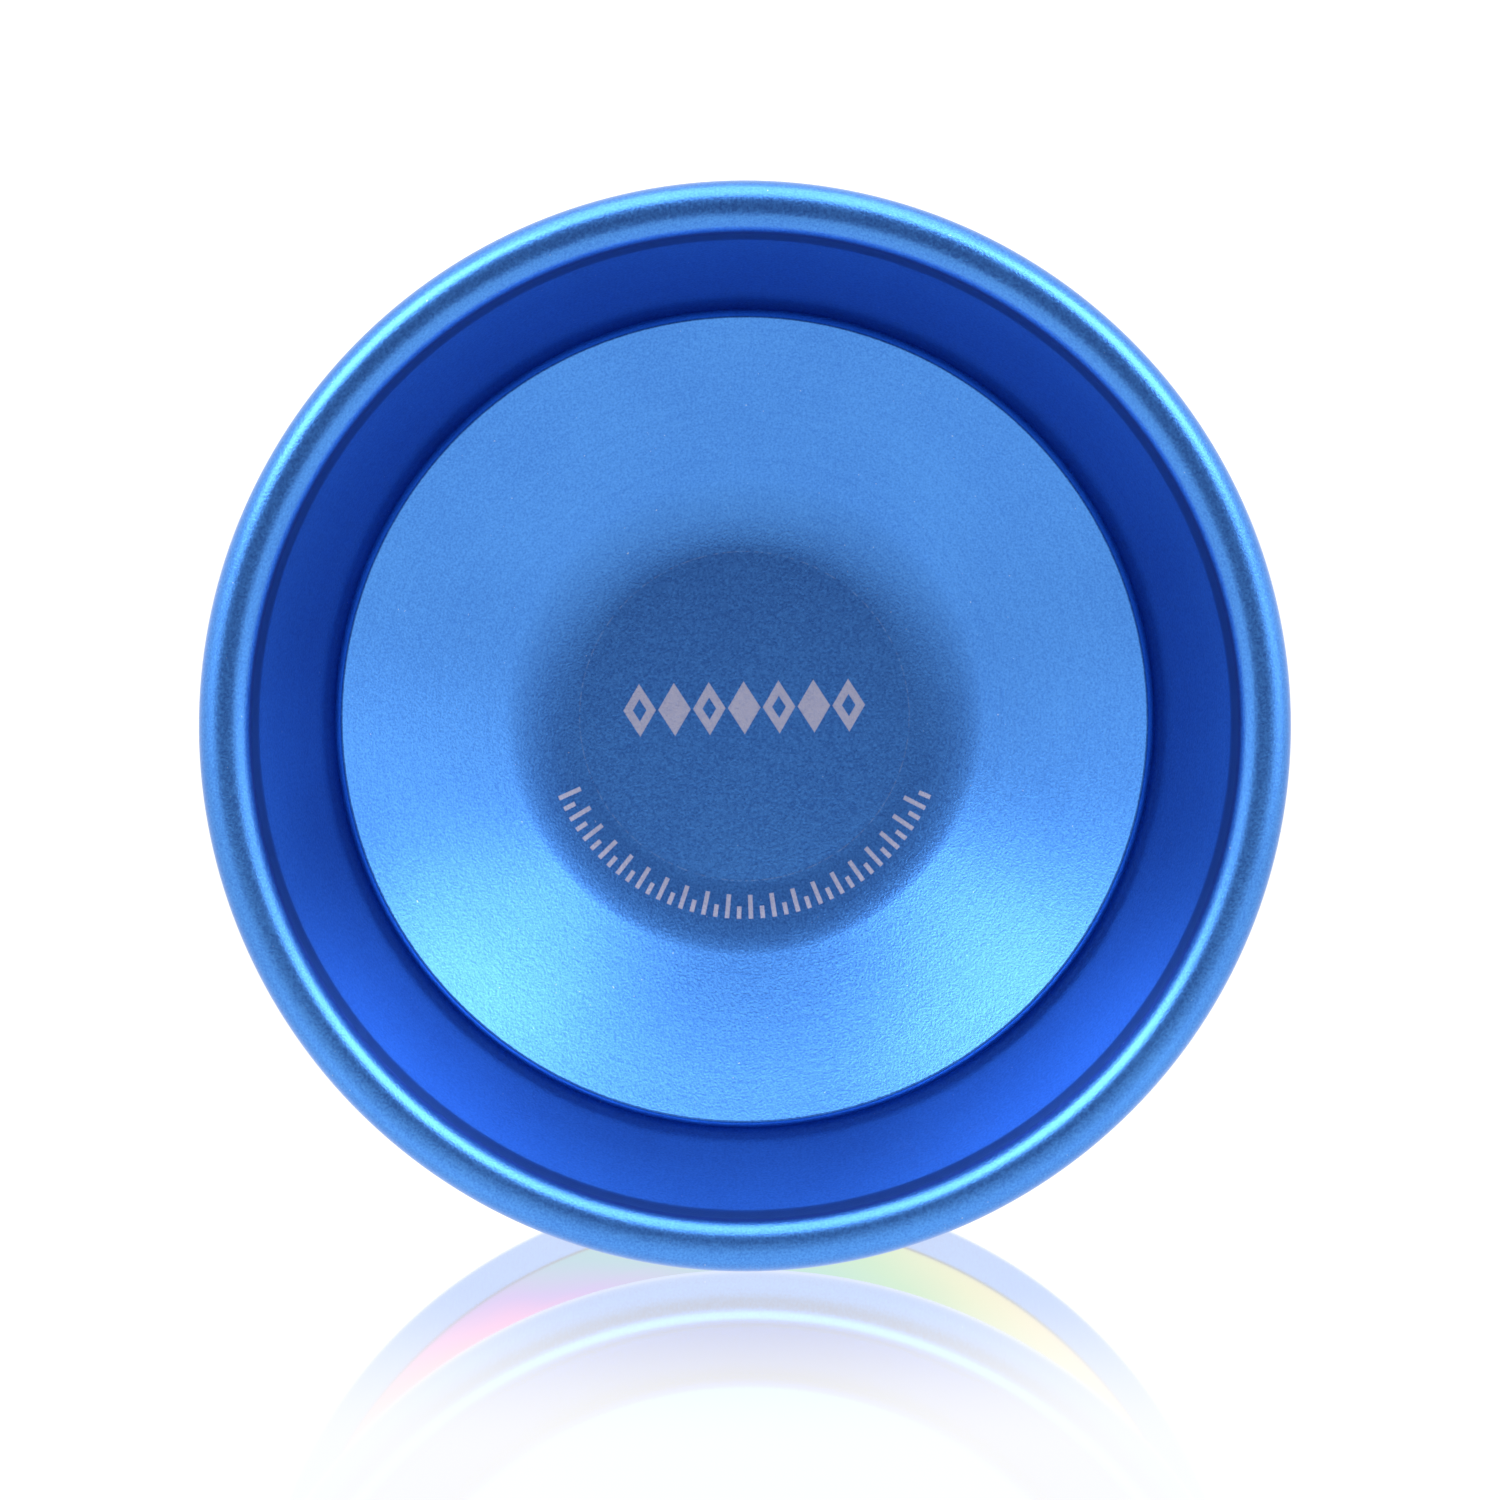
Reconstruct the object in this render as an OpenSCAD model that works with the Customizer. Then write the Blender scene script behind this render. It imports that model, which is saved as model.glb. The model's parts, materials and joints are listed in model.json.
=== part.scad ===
// Two-piece metal yo-yo. Two cupped aluminium halves carry pressed-in steel weight
// rings and are screwed together on one threaded axle, round a small ball bearing
// that the string loops over. The spin axis is Y and the front face looks along -Y.
// The origin is the bearing's centre, midway between the two rims. +Z is up.

/* [Overall] */
// Diameter over the rims
diameter = 56; // [54:0.5:68]
// Width over the two rim beads
width = 46; // [45:0.5:56]
// String gap between the inner faces of the two halves
string_gap = 4.5; // [4.2:0.05:5.4]

/* [Rim] */
// Radial width of the rounded bead round the rim
bead_w = 2.6; // [2.45:0.05:3]
// Radius of the bead's outer edge
bead_outer_round = 1.3; // [1:0.05:1.4]
// Radius of the bead's inner edge
bead_inner_round = 1.3; // [0.8:0.05:1.3]
// Radial run of the steep neck inside the bead
neck_w = 0.4; // [0.3:0.05:0.6]
// How far the neck's foot lies under the bead's top
neck_drop = 2.6; // [2.2:0.05:3]
// Fillet between the neck and the cup's wall
neck_fillet = 1; // [0.5:0.1:1.5]
// How far the rim's inner edge lies under the bead's top
rim_edge_drop = 2.3; // [2:0.05:2.8]
// Radius on the rim's inner edge
rim_edge_round = 0.35; // [0.2:0.05:0.4]

/* [Face cup] */
// Radial run of the cup's steep wall
wall_run = 3.2; // [2.8:0.05:3.8]
// Width of the V-groove at the foot of the wall
foot_groove_w = 0.72; // [0.4:0.02:0.9]
// Depth of the V-groove under the face's edge
foot_groove_depth = 0.6; // [0.3:0.05:0.8]
// Depth of the face's outer edge under the bead's top
face_depth = 9.6; // [8:0.1:10]
// Depth of the flat hub floor under the bead's top
hub_depth = 14.3; // [12:0.1:14.6]
// Radius where the sloping face would meet the hub floor
hub_corner_r = 10.4; // [9:0.1:12.5]
// Fillet radius between the face and the hub floor
hub_fillet = 9; // [6:0.1:11]
// Thickness between the face's edge and the string side, along the axis
face_wall = 2.4; // [2:0.1:3]
// Radius that blends the two slopes of the string side
knee_round = 14; // [8:1:20]

/* [Weight ring] */
// Radial width of the rim lip outside the ring
rim_lip_w = 1.6; // [1.4:0.05:2]
// Radial width of the ring
ring_w = 3; // [2.5:0.05:3.3]
// Depth of the ring's shoulder under the bead's top
ring_cover = 3; // [2.8:0.05:3.4]
// Thickness left between the ring's pocket and the cup's wall
pocket_wall = 0.75; // [0.6:0.05:0.9]
// Clearance behind the pressed ring, except at its rim and shoulder
ring_relief = 0.05; // [0.02:0.01:0.1]

/* [Axle] */
// Diameter of the threaded axle
axle_d = 4; // [3.5:0.1:4.8]
// Length of the axle
axle_l = 12; // [10:0.5:13]
// Hexagon socket across its flats
socket_af = 2; // [1.5:0.1:2.4]
// Depth of the hexagon socket
socket_depth = 2.2; // [1.5:0.1:3]
// Chamfer on both ends of the axle
axle_chamfer = 0.4; // [0.2:0.05:0.6]
// Radial clearance between the axle and the threaded holes
thread_fit = 0.05; // [0.02:0.01:0.08]
// Room left past the axle's end before the drill point
axle_room = 0.5; // [0.2:0.1:0.8]

/* [Bearing] */
// Bore of the bearing
bearing_bore = 6.35; // [6.2:0.05:7]
// Outside diameter of the bearing
bearing_od = 12.7; // [12.4:0.05:15.4]
// Width of the bearing
bearing_w = 4.76; // [4.5:0.02:5.8]
// Number of balls
ball_count = 10; // [6:1:11]
// Diameter of a ball
ball_d = 1.588; // [1.4:0.001:1.7]
// Clearance between a ball and its raceways
ball_fit = 0.03; // [0.01:0.01:0.06]
// Clearance between a ball and its pocket in the cage
pocket_fit = 0.05; // [0.03:0.01:0.08]
// Depth of each raceway groove
groove_depth = 0.24; // [0.15:0.01:0.3]
// Clearance between the cage and both races
cage_gap = 0.2; // [0.1:0.01:0.25]
// Height of the cage's closed rim beyond the balls
cage_rim = 0.35; // [0.2:0.05:0.5]
// Height of the cage's prongs past the balls' centres
cage_prong = 0.45; // [0.3:0.01:0.5]
// Thickness of a shield
shield_t = 0.25; // [0.2:0.01:0.3]
// Gap between a shield's bore and the inner race
shield_gap = 0.15; // [0.1:0.01:0.2]
// Width of the step that a shield sits on
shield_step = 0.5; // [0.4:0.01:0.55]
// Radial clearance of a shield on its step
shield_fit = 0.02; // [0.01:0.01:0.04]
// Thickness of a snap ring
snap_t = 0.16; // [0.12:0.01:0.2]
// Radial width of a snap ring
snap_w = 0.42; // [0.35:0.01:0.5]
// How far a snap ring reaches into its groove
snap_bite = 0.1; // [0.06:0.01:0.12]
// Opening of a snap ring, in degrees
snap_opening = 28; // [15:1:40]
// Clearance of a snap ring in its groove
snap_fit = 0.02; // [0.01:0.01:0.03]
// Distance from the bearing's side face to its snap ring
snap_inset = 0.12; // [0.08:0.01:0.16]
// Chamfer on the outer race's edges
race_chamfer = 0.18; // [0.1:0.01:0.22]

/* [Bearing seat] */
// Radial clearance between the bearing's bore and the seat post
seat_fit = 0.02; // [0.01:0.01:0.05]
// Gap between a seat post's tip and the middle plane
post_tip_gap = 0.35; // [0.2:0.05:0.6]
// Radial width of the shoulder that clamps the inner race
shoulder_w = 0.85; // [0.6:0.05:0.9]
// Radial clearance round the spinning outer race
race_clearance = 0.25; // [0.2:0.05:0.4]
// Clearance beside the spinning outer race
side_clearance = 0.3; // [0.2:0.05:0.5]
// Wall between the bearing's recess and the pad's groove
recess_wall = 0.55; // [0.4:0.05:0.8]

/* [Response pad] */
// Radial width of a response pad
pad_w = 2.3; // [2:0.05:2.8]
// Thickness of a response pad
pad_t = 1; // [0.8:0.05:1.2]
// How far a pad lies under the half's inner face
pad_recess = 0.05; // [0:0.01:0.1]
// Radial clearance on both sides of a pad
pad_fit = 0.05; // [0.03:0.01:0.1]
// Width of the lip outside the pad
lip_w = 0.55; // [0.4:0.05:0.8]
// Radius between the lip and the string side's slope
lip_round = 1; // [0.5:0.1:1.2]

/* [Hidden] */
$fn = 128;
FRONT_NODES = [
    "front_half", "front_weight_ring", "front_response_pad", "front_shield", "front_snap_ring"
];
REAR_NODES = [
    "rear_half", "rear_weight_ring", "rear_response_pad", "rear_shield", "rear_snap_ring"
];
CORE_NODES = ["axle", "bearing_inner_race", "bearing_outer_race", "ball_cage"];
BALL_NODES = [for (i = [1 : ball_count]) str("ball_", i)];

anodised_blue = [0.16, 0.42, 0.86];
weight_steel = [0.74, 0.62, 0.78];
bearing_steel = [0.8, 0.81, 0.83];
cage_bronze = [0.72, 0.52, 0.28];
axle_steel = [0.35, 0.36, 0.38];
pad_silicone = [0.93, 0.93, 0.9];

// Heights are measured from the middle plane outwards, along a half's own axis
rim_r = diameter / 2;
rim_h = width / 2;
inner_face_h = string_gap / 2;
neck_h = rim_h - neck_drop;
face_h = rim_h - face_depth;
hub_h = rim_h - hub_depth;
rim_edge_h = rim_h - rim_edge_drop;
knee_h = face_h - face_wall;

// Radii of the cup, from the rim inwards
bead_inner_r = rim_r - bead_w;
neck_foot_r = bead_inner_r - neck_w;
wall_foot_r = neck_foot_r - wall_run;
face_edge_r = wall_foot_r - foot_groove_w;
wall_slope = (neck_h - face_h) / wall_run;

// The weight ring's pocket: its back runs parallel to the cup's wall
ring_outer_r = rim_r - rim_lip_w;
ring_inner_r = ring_outer_r - ring_w;
ring_top_h = rim_h - ring_cover;
pocket_wall_h = pocket_wall * norm([1, wall_slope]);
pocket_inner_h = face_h + (ring_inner_r - wall_foot_r) * wall_slope - pocket_wall_h;
shoulder_inner_r = ring_inner_r + (ring_top_h - pocket_inner_h) / wall_slope;
string_side_slope = (rim_edge_h - knee_h) / (rim_r - face_edge_r);
function string_side_h(r) = knee_h + (r - face_edge_r) * string_side_slope;

// The bearing and what surrounds it
pitch_r = (bearing_bore + bearing_od) / 4;
raceway_r = ball_d / 2 + ball_fit;
inner_shoulder_r = pitch_r - raceway_r + groove_depth;
outer_shoulder_r = pitch_r + raceway_r - groove_depth;
bearing_h = bearing_w / 2;
snap_h = bearing_h - snap_inset - snap_t;
shield_h = snap_h - shield_t;
shield_r = outer_shoulder_r + shield_step;
snap_outer_r = shield_r + snap_bite;
post_r = bearing_bore / 2 - seat_fit;
recess_r = bearing_od / 2 + race_clearance;
recess_h = bearing_h + side_clearance;
pad_inner_r = recess_r + recess_wall + pad_fit;
pad_outer_r = pad_inner_r + pad_w;
lip_outer_r = pad_outer_r + pad_fit + lip_w;

// The threaded hole in each half, with its drill point
hole_r = axle_d / 2 + thread_fit;
hole_h = axle_l / 2 + axle_room;
drill_point = 118;
drill_point_l = hole_r / tan(drill_point / 2);

// Enough to cut clean through a surface
over = 1;
// The most that one step of a rounded corner turns through
arc_step = 8;

function unit(v) = v / norm(v);
function turned(v, angle) = [
    v.x * cos(angle) - v.y * sin(angle),
    v.x * sin(angle) + v.y * cos(angle)
];

// The arc that starts at centre + from and turns through angle, as points
function arc(centre, from, angle) =
    let (steps = ceil(abs(angle) / arc_step))
    [for (i = [0 : steps]) centre + turned(from, angle * i / steps)];

// The corner p on the way from a to b, rounded with radius r
function rounded(a, p, b, r) =
    let (
        back = unit(a - p),
        ahead = unit(b - p),
        half_angle = acos(back * ahead) / 2,
        centre = p + unit(back + ahead) * r / sin(half_angle),
        start = p + back * r / tan(half_angle),
        side = sign(cross(-back, ahead))
    )
    arc(centre, start - centre, side * (180 - 2 * half_angle));

// Places a shape of revolution, drawn round +Z, on the front or the rear side
module on_side(side) {
    rotate([side == "front" ? 90 : -90, 0, 0])
        children();
}

// Corners of a half's outline, as [radius, height from the middle plane]
inner_face_centre = [0, inner_face_h];
lip_corner = [lip_outer_r, inner_face_h];
knee_corner = [face_edge_r, knee_h];
rim_edge_corner = [rim_r, rim_edge_h];
bead_outer_corner = [rim_r, rim_h];
bead_inner_corner = [bead_inner_r, rim_h];
neck_corner = [neck_foot_r, neck_h];
wall_foot_corner = [wall_foot_r, face_h];
foot_groove_bottom = [wall_foot_r - foot_groove_w / 2, face_h - foot_groove_depth];
face_edge_corner = [face_edge_r, face_h];
hub_corner = [hub_corner_r, hub_h];
hub_centre = [0, hub_h];

module half_outline() {
    polygon(concat(
        [inner_face_centre],
        rounded(inner_face_centre, lip_corner, knee_corner, lip_round),
        rounded(lip_corner, knee_corner, rim_edge_corner, knee_round),
        rounded(knee_corner, rim_edge_corner, bead_outer_corner, rim_edge_round),
        rounded(rim_edge_corner, bead_outer_corner, bead_inner_corner, bead_outer_round),
        rounded(bead_outer_corner, bead_inner_corner, neck_corner, bead_inner_round),
        rounded(bead_inner_corner, neck_corner, wall_foot_corner, neck_fillet),
        [wall_foot_corner, foot_groove_bottom, face_edge_corner],
        rounded(face_edge_corner, hub_corner, hub_centre, hub_fillet),
        [hub_centre]
    ));
}

// The pressed ring touches the pocket on its rim and its shoulder only
module ring_section(relief, below) {
    inner_r = ring_inner_r + relief;
    polygon([
        [inner_r, string_side_h(inner_r) - below],
        [ring_outer_r, string_side_h(ring_outer_r) - below],
        [ring_outer_r, ring_top_h],
        [shoulder_inner_r + relief, ring_top_h],
        [inner_r, pocket_inner_h]
    ]);
}

module threaded_hole_section() {
    polygon([[0, -over], [hole_r, -over], [hole_r, hole_h], [0, hole_h + drill_point_l]]);
}

module pad_groove_section() {
    translate([pad_inner_r - pad_fit, inner_face_h - over])
        square([pad_w + 2 * pad_fit, over + pad_recess + pad_t]);
}

module bearing_recess_section() {
    translate([0, inner_face_h - over])
        square([recess_r, recess_h - inner_face_h + over]);
}

// The post fills the bearing's bore, and its shoulder clamps the inner race
module bearing_seat_section() {
    seat_top_h = recess_h + over;
    translate([0, bearing_h])
        square([post_r + shoulder_w, seat_top_h - bearing_h]);
    translate([0, post_tip_gap])
        square([post_r, seat_top_h - post_tip_gap]);
}

module half_section() {
    difference() {
        union() {
            difference() {
                half_outline();
                ring_section(0, over);
                pad_groove_section();
                bearing_recess_section();
            }
            bearing_seat_section();
        }
        threaded_hole_section();
    }
}

module yoyo_half(side) {
    color(anodised_blue)
        on_side(side)
            rotate_extrude()
                half_section();
}

module weight_ring(side) {
    color(weight_steel)
        on_side(side)
            rotate_extrude()
                ring_section(ring_relief, 0);
}

module response_pad(side) {
    color(pad_silicone)
        on_side(side)
            rotate_extrude()
                translate([pad_inner_r, inner_face_h + pad_recess])
                    square([pad_w, pad_t]);
}

// A headless socket screw: hexagon socket at the front end, plain rear end
module axle() {
    body_l = axle_l - 2 * axle_chamfer;
    tip_r = axle_d / 2 - axle_chamfer;
    color(axle_steel)
        on_side("front")
            difference() {
                union() {
                    cylinder(r = axle_d / 2, h = body_l, center = true);
                    translate([0, 0, body_l / 2])
                        cylinder(r1 = axle_d / 2, r2 = tip_r, h = axle_chamfer);
                    translate([0, 0, -axle_l / 2])
                        cylinder(r1 = tip_r, r2 = axle_d / 2, h = axle_chamfer);
                }
                translate([0, 0, axle_l / 2 - socket_depth])
                    cylinder(r = socket_af / 2 / cos(30), h = socket_depth + over, $fn = 6);
            }
}

module raceway_section() {
    translate([pitch_r, 0])
        circle(raceway_r);
}

module bearing_inner_race() {
    bore_r = bearing_bore / 2;
    color(bearing_steel)
        on_side("front")
            rotate_extrude()
                difference() {
                    translate([bore_r, -bearing_h])
                        square([inner_shoulder_r - bore_r, bearing_w]);
                    raceway_section();
                }
}

// Both sides are stepped for a shield and grooved for the snap ring that holds it
module bearing_outer_race() {
    outer_r = bearing_od / 2;
    color(bearing_steel)
        on_side("front")
            rotate_extrude()
                difference() {
                    polygon([
                        [outer_shoulder_r, -bearing_h],
                        [outer_r - race_chamfer, -bearing_h],
                        [outer_r, race_chamfer - bearing_h],
                        [outer_r, bearing_h - race_chamfer],
                        [outer_r - race_chamfer, bearing_h],
                        [outer_shoulder_r, bearing_h]
                    ]);
                    raceway_section();
                    for (side = [0, 1])
                        mirror([0, side])
                            side_rebate_section();
                }
}

module side_rebate_section() {
    translate([outer_shoulder_r - over, shield_h])
        square([shield_r - outer_shoulder_r + over, bearing_h - shield_h + over]);
    translate([outer_shoulder_r, snap_h - snap_fit])
        square([snap_outer_r + snap_fit - outer_shoulder_r, snap_t + 2 * snap_fit]);
}

module shield(side) {
    bore_r = inner_shoulder_r + shield_gap;
    color(bearing_steel)
        on_side(side)
            rotate_extrude()
                translate([bore_r, shield_h])
                    square([shield_r - shield_fit - bore_r, shield_t]);
}

module snap_ring(side) {
    color(bearing_steel)
        on_side(side)
            rotate([0, 0, snap_opening / 2 - 90])
                rotate_extrude(angle = 360 - snap_opening)
                    translate([snap_outer_r - snap_w, snap_h])
                        square([snap_w, snap_t]);
}

module at_ball(i) {
    rotate([0, 0, i * 360 / ball_count])
        translate([pitch_r, 0, 0])
            children();
}

module ball(i) {
    color(bearing_steel)
        on_side("front")
            at_ball(i)
                sphere(d = ball_d);
}

// A crown: a closed rim on the front side, with prongs that snap round the balls
module ball_cage() {
    cage_inner_r = inner_shoulder_r + cage_gap;
    cage_outer_r = outer_shoulder_r - cage_gap;
    rim_top = ball_d / 2 + pocket_fit + cage_rim;
    color(cage_bronze)
        on_side("front")
            difference() {
                rotate_extrude()
                    translate([cage_inner_r, -cage_prong])
                        square([cage_outer_r - cage_inner_r, cage_prong + rim_top]);
                for (i = [1 : ball_count])
                    at_ball(i)
                        sphere(d = ball_d + 2 * pocket_fit);
            }
}

yoyo_half("front");  // front_half
weight_ring("front");  // front_weight_ring
response_pad("front");  // front_response_pad
shield("front");  // front_shield
snap_ring("front");  // front_snap_ring
yoyo_half("rear");  // rear_half
weight_ring("rear");  // rear_weight_ring
response_pad("rear");  // rear_response_pad
shield("rear");  // rear_shield
snap_ring("rear");  // rear_snap_ring
axle();
bearing_inner_race();
bearing_outer_race();
ball_cage();
for (i = [1 : ball_count])
    ball(i);
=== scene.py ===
# %% [markdown]
# # A metal yo-yo
# Two cupped aluminium halves, bead-blasted and anodised blue, are screwed together round a small
# ball bearing. The engineering model is loaded first and never moved: every new piece takes its
# place from it. What the frame can't give is the soft roundness of turned edges, a real screw
# thread, and the finishes, so that is what this script adds.

# %% Load the engineering model
import json
import math

import bmesh
import bpy
from mathutils import Matrix, Vector


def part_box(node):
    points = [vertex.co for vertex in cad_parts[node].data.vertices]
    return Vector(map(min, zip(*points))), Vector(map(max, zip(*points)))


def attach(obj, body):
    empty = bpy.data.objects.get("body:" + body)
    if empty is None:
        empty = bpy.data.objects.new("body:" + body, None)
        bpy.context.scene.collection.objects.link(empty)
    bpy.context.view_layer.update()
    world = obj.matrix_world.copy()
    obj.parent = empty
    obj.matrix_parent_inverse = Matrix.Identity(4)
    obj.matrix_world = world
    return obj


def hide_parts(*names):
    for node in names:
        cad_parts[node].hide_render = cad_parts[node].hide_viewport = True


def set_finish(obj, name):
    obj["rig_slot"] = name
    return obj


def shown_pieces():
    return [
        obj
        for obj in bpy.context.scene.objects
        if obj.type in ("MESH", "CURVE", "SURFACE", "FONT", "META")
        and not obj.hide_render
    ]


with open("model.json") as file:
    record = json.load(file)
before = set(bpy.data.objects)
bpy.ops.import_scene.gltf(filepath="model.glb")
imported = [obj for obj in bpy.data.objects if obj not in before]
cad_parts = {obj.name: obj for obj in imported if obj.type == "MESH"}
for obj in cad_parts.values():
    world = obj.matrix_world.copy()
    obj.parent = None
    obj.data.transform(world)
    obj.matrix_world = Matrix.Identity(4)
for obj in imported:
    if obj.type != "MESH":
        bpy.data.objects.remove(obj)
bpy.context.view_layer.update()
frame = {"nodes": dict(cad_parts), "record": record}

MM = 0.001

# %% [markdown]
# ## Sizes
# Turned parts are drawn as a lathe operator reads them: a radius and a height on the part's own
# axis, in millimetres. The big sizes come from the loaded nodes, so the pieces stay in register.
# Heights start at the middle plane, where the string runs, and grow outwards to each rim. A name
# that ends in R is a radius, and one that ends in H is a height.

# %% Read the big sizes off the loaded nodes
half_low, half_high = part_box("front_half")
RIM_R = half_high.x / MM
RIM_H = -half_low.y / MM
race_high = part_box("bearing_outer_race")[1]
RACE_R, RACE_H = race_high.x / MM, race_high.y / MM
axle_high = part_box("axle")[1]
AXLE_R, AXLE_H = axle_high.x / MM, axle_high.y / MM
print(f"rim {RIM_R:.2f} x {RIM_H:.2f}, race {RACE_R:.2f} x {RACE_H:.2f}, axle {AXLE_R:.2f} x {AXLE_H:.2f}")

# %% [markdown]
# ## One helper for everything that comes off a lathe
# A lathe makes a shape by turning one outline round an axis, and `spin` does the same. The outline
# starts as a few vertices, one at each corner. A vertex bevel then rounds a corner exactly where a
# tool or a tumbling barrel would, before the spin. Bevelling the finished ring instead would work
# on thousands of edges for the same result. A broken edge gets a facet every 24 degrees and a
# fillet every 8, while a curve as wide as the face's needs one every 1.5 degrees to look smooth.
#
# Smooth shading averages the faces round a vertex, so a flat beside a tiny rounded edge would be
# shaded as if it were bent. Weighted normals let the large face win, and it stays flat.

# %% The lathe
FRONT = Matrix.Rotation(math.pi / 2, 4, "X")
REAR = Matrix.Rotation(-math.pi / 2, 4, "X")
SIDES = {"front": FRONT, "rear": REAR}
FULL_TURN = 2 * math.pi
SHELL_STEPS, RACE_STEPS, SMALL_STEPS = 256, 240, 180
BROKEN_EDGE_R, WIDE_CURVE_R = 0.2, 5


def round_corner(bm, vert, radius):
    """Turns one corner of an outline into an arc of that radius."""
    back, ahead = [(e.other_vert(vert).co - vert.co) for e in vert.link_edges]
    half_angle = back.angle(ahead) / 2
    turn = math.degrees(math.pi - 2 * half_angle)
    room = 0.999 * min(back.length, ahead.length)
    facet = 24 if radius < BROKEN_EDGE_R else 8 if radius < WIDE_CURVE_R else 1.5
    bmesh.ops.bevel(
        bm, geom=[vert], offset=min(radius / math.tan(half_angle), room), offset_type="OFFSET",
        segments=max(2, round(turn / facet)), profile=0.5, affect="VERTICES", material=-1,
    )


def outline_mesh(outline, closed):
    """The corners (radius, height, rounding) as a wire in the XZ plane, with its rounded corners."""
    bm = bmesh.new()
    verts = [bm.verts.new((corner[0], 0, corner[1])) for corner in outline]
    for start, end in zip(verts, verts[1:] + verts[:1] if closed else verts[1:]):
        bm.edges.new((start, end))
    for vert, corner in zip(verts, outline):
        if len(corner) > 2:
            round_corner(bm, vert, corner[2])
    return bm


def finished(bm, name, place, body, slot, stands_for, smooth_angle=40):
    """Merges seams, turns the faces outwards, puts the piece in place and says what it is."""
    bmesh.ops.remove_doubles(bm, verts=bm.verts, dist=1e-5)
    bmesh.ops.recalc_face_normals(bm, faces=bm.faces)
    bmesh.ops.transform(bm, verts=bm.verts, matrix=Matrix.Scale(MM, 4) @ place)
    for face in bm.faces:
        face.smooth = True
    for edge in bm.edges:
        edge.smooth = edge.is_manifold and edge.calc_face_angle(0) < math.radians(smooth_angle)
    mesh = bpy.data.meshes.new(name)
    bm.to_mesh(mesh)
    open_edges = sum(not e.is_manifold for e in bm.edges)
    bm.free()
    piece = bpy.data.objects.new(name, mesh)
    bpy.context.scene.collection.objects.link(piece)
    piece.modifiers.new("flat_faces_stay_flat", "WEIGHTED_NORMAL").keep_sharp = True
    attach(piece, body)
    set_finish(piece, slot)
    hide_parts(stands_for)
    print(f"{name}: {len(mesh.polygons)} faces, {open_edges} open edges")
    return piece


def turned(name, outline, side, body, slot, stands_for, steps=SMALL_STEPS, closed=True,
           angle=FULL_TURN):
    """A turned piece: its outline is spun round its own axis and laid on its side of the yo-yo."""
    bm = outline_mesh(outline, closed)
    full = angle == FULL_TURN
    bmesh.ops.spin(
        bm, geom=bm.verts[:] + bm.edges[:], cent=(0, 0, 0), axis=(0, 0, 1), dvec=(0, 0, 0),
        angle=angle, steps=steps, use_merge=full, use_normal_flip=False, use_duplicate=False,
    )
    if not full:
        bmesh.ops.holes_fill(bm, edges=[e for e in bm.edges if e.is_boundary], sides=0)
        turn_back = Matrix.Rotation(-math.pi / 2 + (FULL_TURN - angle) / 2, 4, "Z")
        bmesh.ops.transform(bm, verts=bm.verts, matrix=turn_back)
    return finished(bm, name, SIDES[side], body, slot, stands_for)


facet_gap = RIM_R * (1 - math.cos(math.pi / SHELL_STEPS))
print(f"a full turn in {SHELL_STEPS} steps leaves {facet_gap:.4f} mm between facet and circle")

# %% [markdown]
# ## The two halves
# Each half is one piece of aluminium. From the middle outwards the string side has a post that
# carries the bearing, a recess round it, a groove for the soft pad, a lip, and a long slope that
# ends in the rim, where a steel ring is pressed in. The face is a shallow dish inside a steep
# wall, with a turned V-groove where the two meet, and the rim is a fat rounded bead with a steep
# neck under it. Groove and neck look dark because light bounces in them several times, and the
# neck is also painted darker in its finish, as painted shade. Every edge is broken slightly, as
# blasting leaves it: a knife-sharp edge would look drawn, not machined.
#
# The dish sags a little between the groove and the hub. A straight cone would carry its highlights
# unchanged from the one to the other, and on the real face they drift.

# %% Sizes of the face side
BEAD_W, BEAD_ROUND, RIM_EDGE_DROP, RIM_EDGE_ROUND = 2.6, 1.3, 2.3, 0.35
NECK_W, NECK_DROP, NECK_FILLET, WALL_RUN = 0.4, 2.6, 1, 3.2
GROOVE_W, GROOVE_DEPTH, CUP_DEPTH, HUB_DEPTH, HUB_FILLET = 0.72, 0.6, 9.6, 14.3, 13
DISH_SAG, DISH_ROUND, EDGE = 0.25, 90, 0.06
BEAD_R = RIM_R - BEAD_W
NECK_R, NECK_H = BEAD_R - NECK_W, RIM_H - NECK_DROP
WALL_FOOT_R = NECK_R - WALL_RUN
FACE_R, FACE_H = WALL_FOOT_R - GROOVE_W, RIM_H - CUP_DEPTH
GROOVE_R, GROOVE_H = WALL_FOOT_R - GROOVE_W / 2, FACE_H - GROOVE_DEPTH
HUB_R, HUB_H = 10.6, RIM_H - HUB_DEPTH
DISH_R, DISH_H = (FACE_R + HUB_R) / 2, (FACE_H + HUB_H) / 2 - DISH_SAG
print(f"groove at radius {GROOVE_R:.2f}, {CUP_DEPTH} mm down, hub {HUB_DEPTH} mm down")

# %% Sizes of the string side
RACE_BORE_R, SEAT_FIT, SEAT_W, GAP_H, POST_TIP_H = 3.175, 0.02, 0.85, 2.25, 0.35
BORE_R, BORE_H, DRILL_POINT = AXLE_R + 0.05, AXLE_H + 0.5, math.radians(118)
POST_R = RACE_BORE_R - SEAT_FIT
RECESS_R, RECESS_H = RACE_R + 0.25, RACE_H + 0.3
PAD_W, PAD_T, PAD_FIT, LIP_W, LIP_ROUND = 2.3, 1, 0.05, 0.55, 1
PAD_IN_R, PAD_FLOOR_H = RECESS_R + LIP_W, GAP_H + PAD_T + PAD_FIT
PAD_OUT_R = PAD_IN_R + PAD_W + 2 * PAD_FIT
FACE_WALL, KNEE_ROUND, RIM_LIP, RING_W, RING_COVER, POCKET_WALL = 2.4, 14, 1.6, 3, 3, 0.75
KNEE_H, RIM_EDGE_H = FACE_H - FACE_WALL, RIM_H - RIM_EDGE_DROP
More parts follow.
